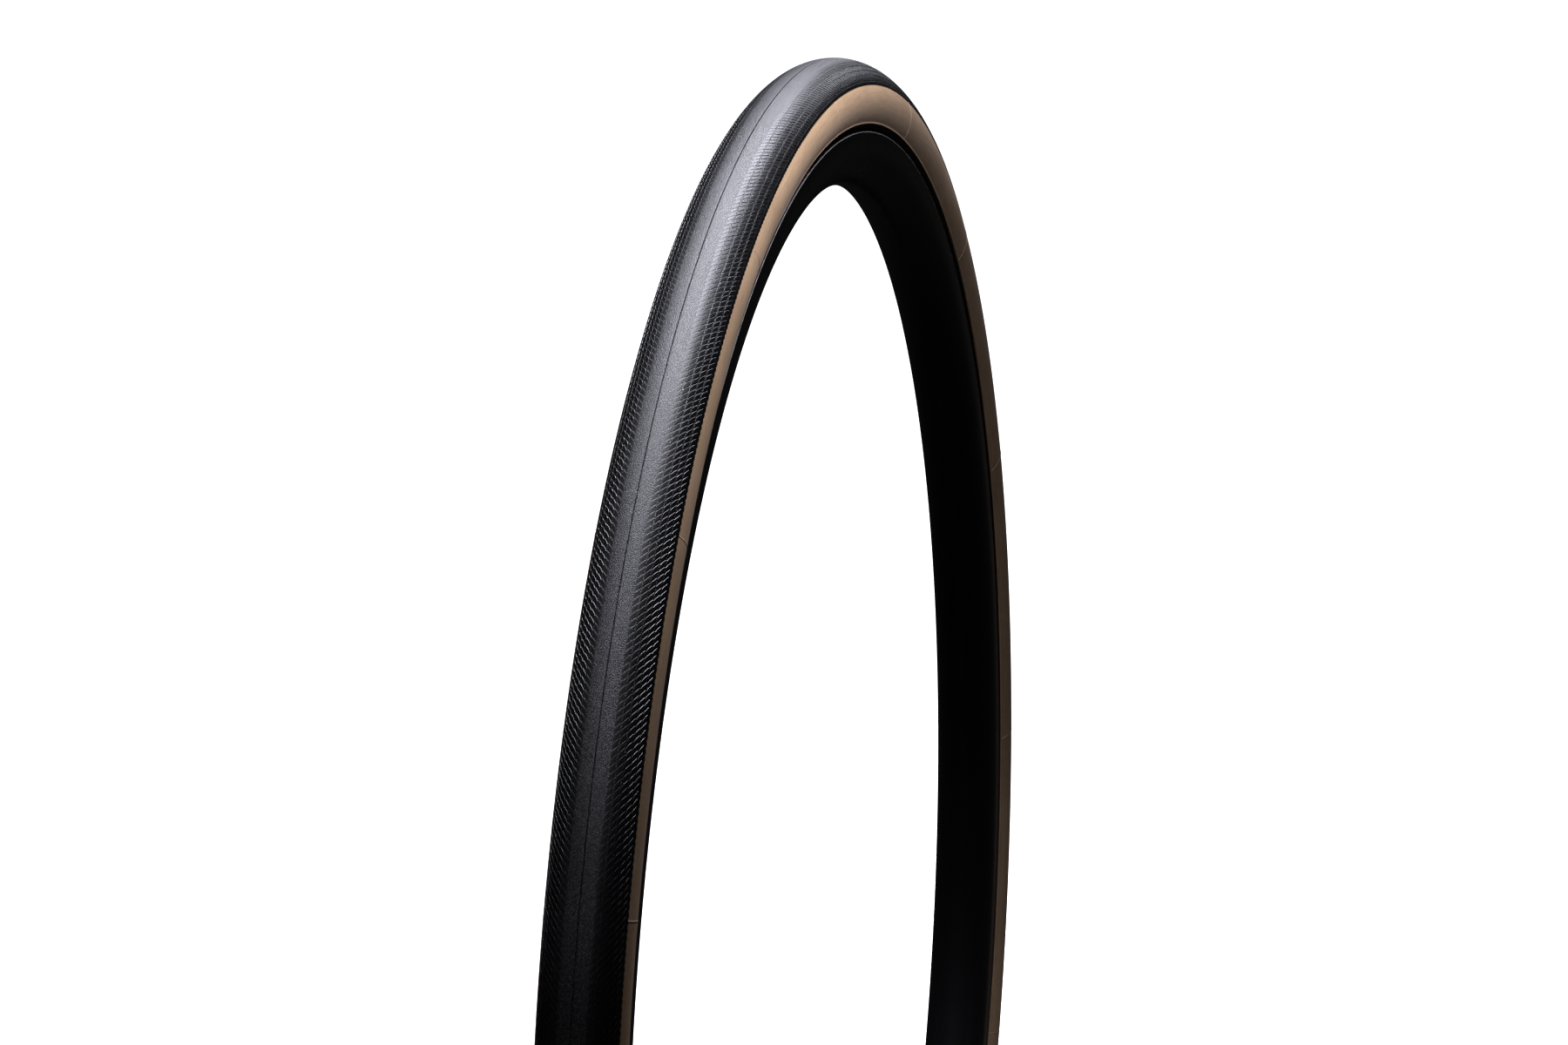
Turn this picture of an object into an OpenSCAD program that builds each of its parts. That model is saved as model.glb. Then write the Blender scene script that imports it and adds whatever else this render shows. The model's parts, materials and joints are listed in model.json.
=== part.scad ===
// 700 x 32C road tire with an inner tube, inflated on a plain rounded rim.
// Row frame: millimetres, +Y is the wheel's axle line, +Z up, origin at the wheel's centre.
// A section is drawn as [radius, offset along the axle] and turned about the axle.

/* [Tire] */
// Outer diameter over the tread
tire_d = 686; // [680:1:692]
// Width across the sidewalls
tire_w = 30.6; // [30:0.1:31]
// Radius of the tread's rounded outer face
tread_r = 15.5; // [15:0.1:16]
// Half angle that the tread covers, seen from the middle of its round section
tread_half_angle = 64; // [60:1:66]
// Thickness of the tread rubber at the crown, over the belt
tread_t = 1.95; // [1.6:0.05:2.2]
// Half angle that the puncture belt covers
belt_half_angle = 45; // [30:1:50]
// Thickness of the puncture belt
belt_t = 0.4; // [0.3:0.05:0.6]
// Thickness of the sidewall rubber
skin_t = 0.45; // [0.3:0.05:0.5]
// Thickness of one casing ply
ply_t = 0.33; // [0.25:0.01:0.35]
// Half angle at which the sidewall rubber gives way to the chafer
skin_end_angle = 125; // [122:1:127]
// Radius of the aramid bead core
bead_core_r = 1.05; // [0.9:0.05:1.1]

/* [Rim] */
// Diameter of the bead seat
bead_seat_d = 622; // [621:0.5:623]
// Height of the rim edge over the bead seat
flange_h = 5.9; // [5.5:0.1:6.2]
// Width across the rim edges
rim_w = 24.6; // [24.2:0.1:25]
// Width between the rim edges, where the tire sits
rim_inner_w = 20; // [19.8:0.1:20.2]
// Depth of the rim from its edge to its innermost line
rim_depth = 20.9; // [19:0.1:24]
// Thickness of the rim's shell
rim_wall = 1.5; // [1.2:0.1:1.7]

/* [Valve] */
// Length of the valve stem, from the tube to its mouth
stem_l = 47; // [44:1:60]
// Radius of the threaded stem
stem_r = 3; // [2.9:0.05:3.1]
// Radius of the lock ring
lock_ring_r = 5.5; // [5:0.1:6.5]

/* [Hidden] */

gap = 0.02;                       // bonded layers stand this far apart
turn_fn = 240;                    // facets of a turned part, in a preview
arc_steps = 16;                   // steps of a quarter arc in a section
axle_turn = [-90, 0, 0];          // turns the lathe's own axis onto +Y

tire_r = tire_d / 2;
seat_r = bead_seat_d / 2;

// Rim edge: a round lip between the outer and inner faces of the flange
lip_r = (rim_w - rim_inner_w) / 4;
lip_y = rim_inner_w / 2 + lip_r;
lip_c = seat_r + flange_h - lip_r;

// Tire section: lower half round, upper half slightly flattened under the tread
skin_r = tire_w / 2;
lip_gap = 0.1;                    // clearance of the tire from the rim edge
nip_r = lip_r + lip_gap;
sec_c = lip_c + sqrt(pow(skin_r + nip_r, 2) - pow(lip_y, 2));
nip_angle = 180 - atan2(lip_y, sec_c - lip_c);
crown_a = tire_r - tread_t - belt_t + skin_t - sec_c;
leg_y = lip_y - nip_r;
tread_c = tire_r - tread_r;

// Layers, as depths below the sidewall's outer face
ply1_d = skin_t + gap;
ply2_d = ply1_d + ply_t + gap;
liner_d = ply2_d + ply_t;
split_angle = 118;                // where the plies part to go round the bead

// Bead, between the flange and the inner face of its chafer
toe_r = seat_r + 0.08;
chafer_t = 0.42;
core_c = [seat_r + 2.1, leg_y - 2.05];
core_side = core_c[1] - bead_core_r - 0.1;
bead_in_y = core_side - ply_t - gap - chafer_t;
bead_top_r = seat_r + 4.6;

// Rim well and bed
well_r = seat_r - 3.8;
well_y = 5;
shelf_y = 5.5;
tape_t = 0.3;
belly_r = seat_r + flange_h - rim_depth;

// Valve: heights are measured from the foot of the stem, towards the hub
valve_z = -(well_r + tape_t + 1.1);
hole_r = 3.25;
bore_r = 1.2;
core_bore_r = 1.7;
core_bore_l = 17.5;
patch_r = 9;
patch_w = 8.4;
foot_r = 3.8;
foot_t = 0.7;
mouth_r = 2.6;
mouth_l = 5;
pin_r = 0.75;
pin_guide_r = 0.85;
core_l = 13;
head_r = 2.4;
head_l = 2.6;
nut_lift = 2.4;
nut_r = 2.1;
nut_l = 4;
ring_l = 3.5;

// Point on a layer at depth d: angle 0 is the crown, 90 the widest place
function layer(d, a) = [sec_c + ((a < 90 ? crown_a : skin_r) - d) * cos(a), (skin_r - d) * sin(a)];
function layer_arc(d, a0, a1, n = 2 * arc_steps) = [for (i = [0:n]) layer(d, a0 + (a1 - a0) * i / n)];
// The same layer where it curls in over the rim's lip, and down the leg
function nip_arc(d, n = 6) = [for (i = [0:n])
    let (a = nip_angle - 180 + (-90 - (nip_angle - 180)) * i / n)
    [lip_c + (nip_r + d) * cos(a), lip_y + (nip_r + d) * sin(a)]];
function circle_arc(c, r, a0, a1, n = arc_steps) = [for (i = [0:n])
    let (a = a0 + (a1 - a0) * i / n) [c[0] + r * cos(a), c[1] + r * sin(a)]];
function back(p) = [for (i = [len(p) - 1:-1:0]) p[i]];
function flip(p) = [for (q = p) [q[0], -q[1]]];
function tail(p) = [for (i = [1:len(p) - 1]) p[i]];
// Closes an outline from its outer and inner edge, both drawn from the crown to the right-hand end
function both_sides(outer, inner) = concat(outer, back(inner), flip(tail(inner)), back(flip(tail(outer))));

module turned() rotate(axle_turn) rotate_extrude($fn = turn_fn) children();
module side(left) mirror([0, left ? 0 : 1, 0]) children();

// Tread: a crescent of rubber whose edge laps over the sidewall
module tread_cap() {
    edge = [tread_c + tread_r * cos(tread_half_angle), tread_r * sin(tread_half_angle)];
    lap_a = asin(edge[1] / skin_r) - 0.5;
    outer = circle_arc([tread_c, 0], tread_r, 0, tread_half_angle, 2 * arc_steps);
    inner = concat(layer_arc(skin_t - belt_t - gap, 0, belt_half_angle + 0.5),
                   layer_arc(skin_t - gap, belt_half_angle + 0.5, lap_a - 8, 6),
                   layer_arc(-gap, lap_a - 8, lap_a, 3));
    color([0.06, 0.06, 0.065]) turned() polygon(both_sides(outer, inner));
}

module puncture_belt() {
    color([0.75, 0.65, 0.3]) turned() polygon(both_sides(
        layer_arc(skin_t - belt_t, 0, belt_half_angle),
        layer_arc(skin_t, 0, belt_half_angle)));
}

// Outer ply: down the outside of each bead and under its core
module casing_outer_ply() {
    foot_top = toe_r + chafer_t + gap + ply_t;
    outer = concat(layer_arc(ply1_d, 0, nip_angle), tail(nip_arc(ply1_d)),
                   [[toe_r + chafer_t + gap, leg_y - ply1_d], [toe_r + chafer_t + gap, core_side + gap]]);
    inner = concat(layer_arc(ply1_d + ply_t, 0, nip_angle), tail(nip_arc(ply1_d + ply_t)),
                   [[foot_top, leg_y - ply1_d - ply_t], [foot_top, core_side + gap]]);
    color([0.72, 0.58, 0.42]) turned() polygon(both_sides(outer, inner));
}

// Inner ply: down the inside of each bead
module casing_inner_ply() {
    low_r = toe_r + chafer_t + gap;
    outer = concat(layer_arc(ply2_d, 0, split_angle), [[bead_top_r, core_side], [low_r, core_side]]);
    inner = concat(layer_arc(liner_d, 0, split_angle),
                   [[bead_top_r + 0.1, core_side - ply_t], [low_r, core_side - ply_t]]);
    color([0.68, 0.55, 0.4]) turned() polygon(both_sides(outer, inner));
}

// Tan rubber from under the tread's edge to a small bead line over the rim
module sidewall(left) {
    start_a = asin(tread_r * sin(tread_half_angle) / skin_r) - 7;
    line_c = layer(0, skin_end_angle - 1.5);
    color([0.72, 0.56, 0.4]) turned() side(left) {
        polygon(concat(layer_arc(0, start_a, skin_end_angle), back(layer_arc(skin_t, start_a, skin_end_angle))));
        translate(line_c) circle(r = 0.3, $fn = 24);
    }
}

// Black strip from the sidewall round the bead to its inner face
module chafer(left) {
    a0 = skin_end_angle + 0.3;
    color([0.08, 0.08, 0.08]) turned() side(left) polygon(concat(
        layer_arc(0, a0, nip_angle, 6), tail(nip_arc(0)),
        [[toe_r + 0.5, leg_y], [toe_r, leg_y - 0.5], [toe_r, bead_in_y + 0.4], [toe_r + 0.4, bead_in_y],
         [bead_top_r - 0.4, bead_in_y], [bead_top_r, bead_in_y + chafer_t],
         [toe_r + chafer_t, bead_in_y + chafer_t], [toe_r + chafer_t, leg_y - skin_t]],
        back(tail(nip_arc(skin_t))), back(layer_arc(skin_t, a0, nip_angle, 6))));
}

module bead_core(left) {
    color([0.85, 0.75, 0.4]) turned() side(left) translate(core_c) circle(r = bead_core_r, $fn = 48);
}

// Rubber wedge that fills the space between the plies above the core
module bead_filler(left) {
    seat = 0.1;
    color([0.15, 0.14, 0.13]) turned() side(left) difference() {
        polygon(concat(layer_arc(ply2_d, split_angle + 1.5, nip_angle, 8), tail(nip_arc(ply2_d)),
                       [[core_c[0], leg_y - ply2_d], [core_c[0], core_side + gap], [bead_top_r, core_side + gap]]));
        translate(core_c) circle(r = bead_core_r + seat, $fn = 48);
    }
}

// Butyl tube, filling the tire and the rim well
module inner_tube() {
    tube_t = 0.8;
    tube_d = liner_d + 0.06;
    low = well_r + tape_t + 0.1;
    outline = function (t) concat(
        layer_arc(tube_d + t, 0, split_angle - 1),
        [[bead_top_r + 0.6 + t / 2, bead_in_y - 0.15 - t], [seat_r + 0.6, bead_in_y - 0.15 - t],
         [seat_r - 0.6, shelf_y - 0.75 - t], [low + t, well_y - 0.5 - t]]);
    color([0.1, 0.1, 0.1]) difference() {
        turned() difference() {
            polygon(concat(outline(0), back(flip(tail(outline(0))))));
            polygon(concat(outline(tube_t), back(flip(tail(outline(tube_t))))));
        }
        at_valve(-0.6) patch_plate(1.7, gap);
    }
}

module at_valve(h) translate([0, 0, valve_z + h]) children();

// Outline of the rubber foot: round ends along the tire, flat sides in the rim well
module patch_plate(h, grow) intersection() {
    cylinder(r = patch_r + grow, h = h, $fn = 64);
    translate([-patch_r - 1, -patch_w / 2 - grow, 0]) cube([2 * patch_r + 2, patch_w + 2 * grow, h]);
}

// Rubber foot that joins the stem to the tube
module valve_patch() {
    color([0.12, 0.12, 0.12]) difference() {
        at_valve(-0.4) patch_plate(1.4, 0);
        at_valve(-gap) cylinder(r = foot_r + gap, h = foot_t + 2 * gap, $fn = 64);
        at_valve(-1) cylinder(r = bore_r, h = 2, $fn = 32);
        at_valve(0) cylinder(r = stem_r + gap, h = 3, $fn = 48);
    }
}

// Brass stem with its foot, its plain shaft and its narrower mouth
module valve_stem() {
    color([0.75, 0.74, 0.7]) difference() {
        union() {
            at_valve(0) cylinder(r = foot_r, h = foot_t, $fn = 64);
            at_valve(0) cylinder(r = stem_r, h = stem_l - mouth_l, $fn = 64);
            at_valve(0) cylinder(r = mouth_r, h = stem_l, $fn = 64);
        }
        at_valve(-1) cylinder(r = bore_r, h = stem_l + 2, $fn = 48);
        at_valve(stem_l - core_bore_l) cylinder(r = core_bore_r, h = core_bore_l + 1, $fn = 48);
    }
}

// Core body in the stem's mouth, with a flatted head for its wrench
module valve_core() {
    flats = 4;
    color([0.78, 0.7, 0.5]) difference() {
        union() {
            at_valve(stem_l - core_l) cylinder(r = core_bore_r - 0.04, h = core_l + 0.2, $fn = 48);
            at_valve(stem_l + 0.02) intersection() {
                cylinder(r = head_r, h = head_l, $fn = 48);
                translate([-head_r, -flats / 2, 0]) cube([2 * head_r, flats, head_l]);
            }
        }
        at_valve(stem_l - core_l - 1) cylinder(r = pin_guide_r + 0.25, h = core_l - 1, $fn = 32);
        at_valve(stem_l - 3) cylinder(r = pin_guide_r, h = head_l + 6, $fn = 32);
    }
}

module valve_pin() {
    low = stem_l - core_l - 1.2;
    high = stem_l + head_l + nut_lift + nut_l + 1.6;
    color([0.8, 0.72, 0.5]) {
        at_valve(low) cylinder(r = pin_r, h = high - low, $fn = 32);
        at_valve(high - 0.6) cylinder(r = pin_r + 0.2, h = 0.6, $fn = 32);
    }
}

// Rubber washer on the pin's lower end, which closes the core
module valve_pin_seal() {
    color([0.15, 0.15, 0.15]) difference() {
        at_valve(stem_l - core_l - 1.05) cylinder(r = 1.35, h = 1, $fn = 32);
        at_valve(stem_l - core_l - 2) cylinder(r = pin_r + gap, h = 3, $fn = 32);
    }
}

// A ring with grooves down its side, for the fingers
module knurled(r, h, bore, teeth, groove_r) {
    difference() {
        cylinder(r = r, h = h, $fn = 64);
        translate([0, 0, -1]) cylinder(r = bore, h = h + 2, $fn = 64);
        for (i = [0:teeth - 1]) rotate(i * 360 / teeth)
            translate([r + groove_r * 0.4, 0, -1]) cylinder(r = groove_r, h = h + 2, $fn = 16);
    }
}

module valve_pin_nut() {
    color([0.8, 0.74, 0.55]) at_valve(stem_l + 0.02 + head_l + nut_lift) knurled(nut_r, nut_l, pin_r + 0.05, 14, 0.25);
}

module valve_lock_ring() {
    color([0.75, 0.74, 0.7]) translate([0, 0, -belly_r + 0.05]) knurled(lock_ring_r, ring_l, stem_r + 0.06, 24, 0.45);
}

// Hollow rim: flanges and bead seats over a rounded belly
module rim() {
    belly = function (t) [for (i = [0:2 * arc_steps])
        let (a = 90 * i / (2 * arc_steps)) [seat_r - (seat_r - belly_r - t) * sin(a), (rim_w / 2 - t) * cos(a)]];
    outer = concat([[well_r, 0], [well_r, well_y], [seat_r, shelf_y], [seat_r, rim_inner_w / 2 - 0.3],
                    [seat_r + 0.3, rim_inner_w / 2]],
                   circle_arc([lip_c, lip_y], lip_r, -90, 90), belly(0));
    under = [for (q = belly(rim_wall)) if (q[0] < seat_r - rim_wall) q];
    room = concat([[well_r - rim_wall, 0], [well_r - rim_wall, well_y + 0.6], [seat_r - rim_wall, shelf_y + 0.6]], under);
    color([0.05, 0.05, 0.055]) difference() {
        turned() difference() {
            polygon(concat(outer, back(flip([for (i = [1:len(outer) - 2]) outer[i]]))));
            polygon(concat(room, back(flip([for (i = [1:len(room) - 2]) room[i]]))));
        }
        translate([0, 0, -seat_r - 1]) rotate(37) cylinder(r = hole_r, h = rim_depth, $fn = 64);
    }
}

// Tape over the rim well
module rim_tape() {
    top = [[well_r + tape_t, 0], [well_r + tape_t, well_y - 0.32], [seat_r - 0.5, shelf_y - 0.42]];
    low = [[well_r + gap, 0], [well_r + gap, well_y - 0.04], [seat_r - 0.5, shelf_y - 0.12]];
    color([0.7, 0.1, 0.1]) difference() {
        turned() polygon(both_sides(top, low));
        translate([0, 0, -seat_r - 1]) cylinder(r = hole_r + 0.2, h = 8, $fn = 64);
    }
}

tread_cap();
puncture_belt();
casing_outer_ply();
casing_inner_ply();
sidewall(true);  // sidewall_left
sidewall(false);  // sidewall_right
chafer(true);  // chafer_left
chafer(false);  // chafer_right
bead_core(true);  // bead_core_left
bead_core(false);  // bead_core_right
bead_filler(true);  // bead_filler_left
bead_filler(false);  // bead_filler_right
inner_tube();
valve_patch();
valve_stem();
valve_core();
valve_pin();
valve_pin_seal();
valve_pin_nut();
valve_lock_ring();
rim();
rim_tape();
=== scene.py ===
"""Road bicycle tire with tan sidewalls, inflated on a plain black rim.

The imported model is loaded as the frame. The tire's outer pieces, the rim and the valve are then made again
in finer detail, each in the place of its own node. Lengths are metres, in the row frame: the wheel's centre
is the origin, +Y is the axle line and +Z is up. A section is a list of (radius, offset along the axle)
points, turned about the axle.
"""

import json
import math

import bmesh
import bpy
import numpy as np
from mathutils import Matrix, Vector

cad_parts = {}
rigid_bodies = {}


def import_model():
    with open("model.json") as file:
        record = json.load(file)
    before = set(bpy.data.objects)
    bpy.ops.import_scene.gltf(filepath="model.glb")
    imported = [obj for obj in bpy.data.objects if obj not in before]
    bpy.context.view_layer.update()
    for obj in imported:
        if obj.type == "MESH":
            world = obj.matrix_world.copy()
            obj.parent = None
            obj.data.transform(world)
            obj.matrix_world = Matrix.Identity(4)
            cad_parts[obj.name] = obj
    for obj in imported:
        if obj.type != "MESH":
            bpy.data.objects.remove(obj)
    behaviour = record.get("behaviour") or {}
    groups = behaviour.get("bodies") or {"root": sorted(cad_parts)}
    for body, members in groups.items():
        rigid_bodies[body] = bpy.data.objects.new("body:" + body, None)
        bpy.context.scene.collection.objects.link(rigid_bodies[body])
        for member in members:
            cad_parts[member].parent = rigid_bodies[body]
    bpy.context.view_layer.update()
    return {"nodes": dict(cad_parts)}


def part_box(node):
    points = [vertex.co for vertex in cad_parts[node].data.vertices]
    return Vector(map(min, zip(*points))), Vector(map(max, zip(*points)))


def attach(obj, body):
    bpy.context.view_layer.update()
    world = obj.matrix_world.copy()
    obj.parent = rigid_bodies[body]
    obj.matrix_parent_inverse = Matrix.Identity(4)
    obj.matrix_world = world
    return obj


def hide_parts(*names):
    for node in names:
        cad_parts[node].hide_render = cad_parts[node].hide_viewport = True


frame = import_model()

MM = 0.001
TURN = 2 * math.pi


def top_of(node):
    """Largest radius and largest offset along the axle of a node."""
    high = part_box(node)[1]
    return float(high[2]), float(high[1])


# Tire section, as the frame has it
TIRE_R, _ = top_of("tread_cap")
SKIN_R = top_of("sidewall_left")[1]
RIM_R, RIM_HALF = top_of("rim")
TREAD_R = 15.5 * MM               # radius of the tread's rounded face
TREAD_ARC = math.radians(64)      # half angle that the tread covers
TREAD_T = 2.35 * MM               # tread and belt at the crown
SKIN_T = 0.45 * MM                # thickness of the sidewall rubber
UNDERSIDE = 0.02 * MM - SKIN_T    # height of the hidden underside of the pieces, from the sidewall's face
LIP_R = 1.15 * MM                 # roundness of the rim's edge
LIP_GAP = 0.1 * MM
FOOT = math.radians(125)          # where the tan rubber ends
TREAD_C = TIRE_R - TREAD_R
LIP_Y = RIM_HALF - LIP_R
LIP_C = RIM_R - LIP_R
SEC_C = LIP_C + math.sqrt((SKIN_R + LIP_R + LIP_GAP) ** 2 - LIP_Y**2)
CROWN_A = TIRE_R - TREAD_T + SKIN_T - SEC_C

# Parting line at the crown
PARTING_DEEP = 0.6 * MM
PARTING_W = 0.14 * MM             # half its width

# File pattern on the tread's shoulders
PITCHES = 830                     # slanted blocks in one turn
COLUMNS = 5
PATTERN_START = 4.8 * MM          # arc length from the crown to the first column
COLUMN_W = 2.36 * MM
SLANT = 1.25                      # how far a block runs along the tire, for its reach across it
BLOCK_PART = 0.83                 # share of the pitch that a block takes at its foot
LINE_W = 0.4 * MM                 # width of the fine lines between columns
DEEP = 0.16 * MM                  # depth of the grooves
GROOVE_FADE = 1.7                 # columns over which the grooves grow to their full depth
SPECK_FADE = 2.3                   # columns over which the pale specks of the slick centre fade out
FOOT_SINK = 0.03 * MM             # how far a block's foot goes under the grooves' floor
SIDE_BEVELS = (0.24 * MM, 0.12 * MM)  # width of a block's bevels on its upper and lower sides
END_BEVELS = (0.05 * MM, 0.08 * MM)   # and at its inner and outer ends
CORNER_CUT = (0.55 * MM, 0.3 * MM)    # reach of the cut at a block's inner upper corner: across, and along
CUT_GROWTH = 0.03 * MM            # how much the cut reaches further at a block's top
BLOCK_LEVELS = ((1.0, 0.0), (0.45, 0.3), (0.1, 0.75), (0.0, 1.0))  # shares of depth and of bevel, foot to top
OUTLINE = 5                       # corners of a block's outline
PITCH_JITTER = 0.02               # how far a block may stand off its place, as a share of the pitch
EDGE_WAVE = 0.35 * MM             # how far the tread's edge waves, once a block
PATTERN_GLOSS = 0.15              # the shoulders are this much smoother than the centre

# Sidewalls
SPLICES = 16                      # casing splices that cross each sidewall
SPLICE_PHASE = math.radians(1.8)
SPLICE_LEAN = 2.0 * MM            # how far a splice bends along the tire on its way to the foot
RIB_H = 0.36 * MM                 # height of the rib at the foot

# Steps round the wheel
TREAD_STEPS = 960
SKIN_STEPS = 1680
RIM_STEPS = 720

# Rim, under its round lips
RIM_DEPTH = 20.9 * MM             # from the edge to the innermost line
SEAT_R = 311 * MM
WELL_R = SEAT_R - 3.8 * MM
BELLY_R = RIM_R - RIM_DEPTH
HOLE_R = 3.25 * MM                # the valve's hole

# Valve, which stands on the wheel's lowest line
STEM_R = 3 * MM
MOUTH_R = 2.6 * MM
MOUTH_L = 5 * MM
STEM_PITCH = 0.8 * MM             # of the stem's long thread
MOUTH_PITCH = 1.06 * MM           # of the thread for the dust cap
THREAD_DEPTH = 0.32 * MM
CORE_FLATS = 4 * MM               # distance between the core's two flats
PIN_R = 0.75 * MM
HAIR = 0.03 * MM                  # room under the nut and the lock ring


# ---------------------------------------------------------------- mesh tools

def new_object(name, verts, faces, smooth=True):
    """An object from lists of points and faces."""
    mesh = bpy.data.meshes.new(name)
    mesh.from_pydata([tuple(v) for v in verts], [], [tuple(f) for f in faces])
    mesh.update()
    if smooth:
        mesh.polygons.foreach_set("use_smooth", [True] * len(mesh.polygons))
    obj = bpy.data.objects.new(name, mesh)
    bpy.context.scene.collection.objects.link(obj)
    return obj


def mesh_object(name, points, corners, sizes):
    """A smooth object from points, the corners of all faces in one row, and how many each face has."""
    mesh = bpy.data.meshes.new(name)
    mesh.vertices.add(len(points))
    mesh.vertices.foreach_set("co", points.reshape(-1).astype(np.float32))
    mesh.loops.add(len(corners))
    mesh.loops.foreach_set("vertex_index", corners.astype(np.int32))
    mesh.polygons.add(len(sizes))
    mesh.polygons.foreach_set("loop_start", (np.cumsum(sizes) - sizes).astype(np.int32))
    mesh.polygons.foreach_set("loop_total", sizes.astype(np.int32))
    mesh.update(calc_edges=True)
    mesh.validate()
    mesh.polygons.foreach_set("use_smooth", [True] * len(mesh.polygons))
    obj = bpy.data.objects.new(name, mesh)
    bpy.context.scene.collection.objects.link(obj)
    return obj


def grid_object(name, points, closed=False, uv=None):
    """A surface through points[around][section], which meets itself round the turn. closed joins the last
    point of the section to its first too. uv gives each point its place in metres, for fine textures."""
    m, n = points.shape[:2]
    ii, jj = np.meshgrid(np.arange(m), np.arange(n if closed else n - 1), indexing="ij")
    i2, j2 = (ii + 1) % m, (jj + 1) % n
    quads = np.stack([ii * n + jj, i2 * n + jj, i2 * n + j2, ii * n + j2], -1).reshape(-1, 4)
    obj = mesh_object(name, points.reshape(-1, 3), quads.reshape(-1), np.full(len(quads), 4))
    if uv is not None:
        u = np.stack([ii, ii + 1, ii + 1, ii], -1).reshape(-1) * uv[0]
        across = np.append(uv[1], 2 * uv[1][-1] - uv[1][-2])
        v = across[np.stack([jj, jj, jj + 1, jj + 1], -1).reshape(-1)]
        layer = obj.data.uv_layers.new(name="along_across")
        layer.data.foreach_set("uv", np.stack([u, v], -1).reshape(-1).astype(np.float32))
    return obj


def round_wheel(r, y, a):
    """A point or a direction, given by its radius r and offset y, turned about the axle to each angle a."""
    return np.stack([r * np.cos(a), y + 0 * a, r * np.sin(a)], -1)


def section_lengths(section):
    """How far each point of a section stands along it."""
    p = np.asarray(section, float)
    return np.concatenate([[0.0], np.cumsum(np.hypot(*np.diff(p, axis=0).T))])


def lathe(name, section, around, closed=False):
    """A section turned about the axle."""
    r, y = np.asarray(section, float).T
    a = np.arange(around) * TURN / around
    uv = (TURN * float(np.mean(r)) / around, section_lengths(section))
    return grid_object(name, round_wheel(r[None, :], y[None, :], a[:, None]), closed, uv)


def tread_point(s, h):
    """A point of the tread's face: s is the arc length from the crown, h the height over the face."""
    a = s / TREAD_R
    return TREAD_C + (TREAD_R + h) * np.cos(a), (TREAD_R + h) * np.sin(a)


def skin_point(a, h):
    """A point of the sidewall's face: a is the angle from the crown, h the height over the face."""
    return SEC_C + (np.where(a < math.pi / 2, CROWN_A, SKIN_R) + h) * np.cos(a), (SKIN_R + h) * np.sin(a)


def smooth_step(x, low, high):
    """A soft rise from 0 to 1 as x goes from low to high."""
    t = np.clip((x - low) / (high - low), 0, 1)
    return t * t * (3 - 2 * t)


# ---------------------------------------------------------------- materials

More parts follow.
